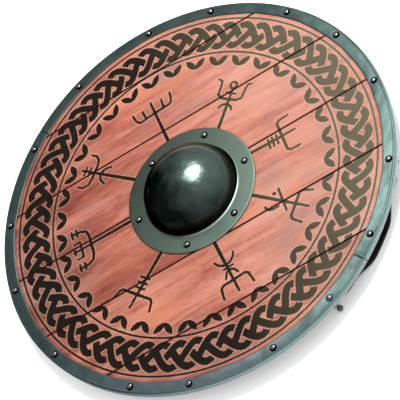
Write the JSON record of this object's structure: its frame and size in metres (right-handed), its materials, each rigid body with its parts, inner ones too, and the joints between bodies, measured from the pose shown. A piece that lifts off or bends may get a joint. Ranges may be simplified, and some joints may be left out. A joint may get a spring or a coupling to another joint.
{
  "type": "wooden round shield",
  "caption": "Round wooden shield of edge-joined planks with a riveted steel rim, a domed steel hand boss, painted face, battens and grip behind, and a leather strap.",
  "frame": {"origin": "middle of the grip's underside, below the centre of the boss, on the surface that the shield lies on", "axes": "+Z is the way the painted face looks, +X runs along the planks, +Y across them and along the grip"},
  "size_m": [0.61, 0.61, 0.0828],
  "materials": {
    "stained_wood": "red stained softwood, painted face, satin",
    "batten_wood": "stained softwood, plain",
    "rim_steel": "blue-grey rolled strip, satin",
    "boss_steel": "dark polished steel",
    "rivet_steel": "blackened, glossy heads",
    "screw_steel": "plain zinc screws",
    "strap_leather": "black leather, satin"
  },
  "bodies": {
    "root": {"plank_1": "stained_wood", "plank_2": "stained_wood", "plank_3": "stained_wood", "plank_4": "stained_wood", "plank_5": "stained_wood", "plank_6": "stained_wood", "rim_half_lower": "rim_steel", "rim_half_upper": "rim_steel", "boss": "boss_steel", "boss_rivet_1": "rivet_steel", "boss_rivet_2": "rivet_steel", "boss_rivet_3": "rivet_steel", "boss_rivet_4": "rivet_steel", "boss_rivet_5": "rivet_steel", "boss_rivet_6": "rivet_steel", "rim_rivet_01": "rivet_steel", "rim_rivet_02": "rivet_steel", "rim_rivet_03": "rivet_steel", "rim_rivet_04": "rivet_steel", "rim_rivet_05": "rivet_steel", "rim_rivet_06": "rivet_steel", "rim_rivet_07": "rivet_steel", "rim_rivet_08": "rivet_steel", "rim_rivet_09": "rivet_steel", "rim_rivet_10": "rivet_steel", "rim_rivet_11": "rivet_steel", "rim_rivet_12": "rivet_steel", "rim_rivet_13": "rivet_steel", "rim_rivet_15": "rivet_steel", "strap_rivet": "rivet_steel", "strap_stud": "rivet_steel", "cross_batten_left": "batten_wood", "cross_batten_right": "batten_wood", "grip_batten": "batten_wood", "batten_screw_01": "screw_steel", "batten_screw_02": "screw_steel", "batten_screw_03": "screw_steel", "batten_screw_04": "screw_steel", "batten_screw_05": "screw_steel", "batten_screw_06": "screw_steel", "batten_screw_07": "screw_steel", "batten_screw_08": "screw_steel", "batten_screw_09": "screw_steel", "batten_screw_10": "screw_steel", "batten_screw_11": "screw_steel", "batten_screw_12": "screw_steel", "batten_screw_13": "screw_steel", "batten_screw_14": "screw_steel", "batten_screw_15": "screw_steel", "batten_screw_16": "screw_steel", "carry_strap": "strap_leather"}
  },
  "joints": []
}
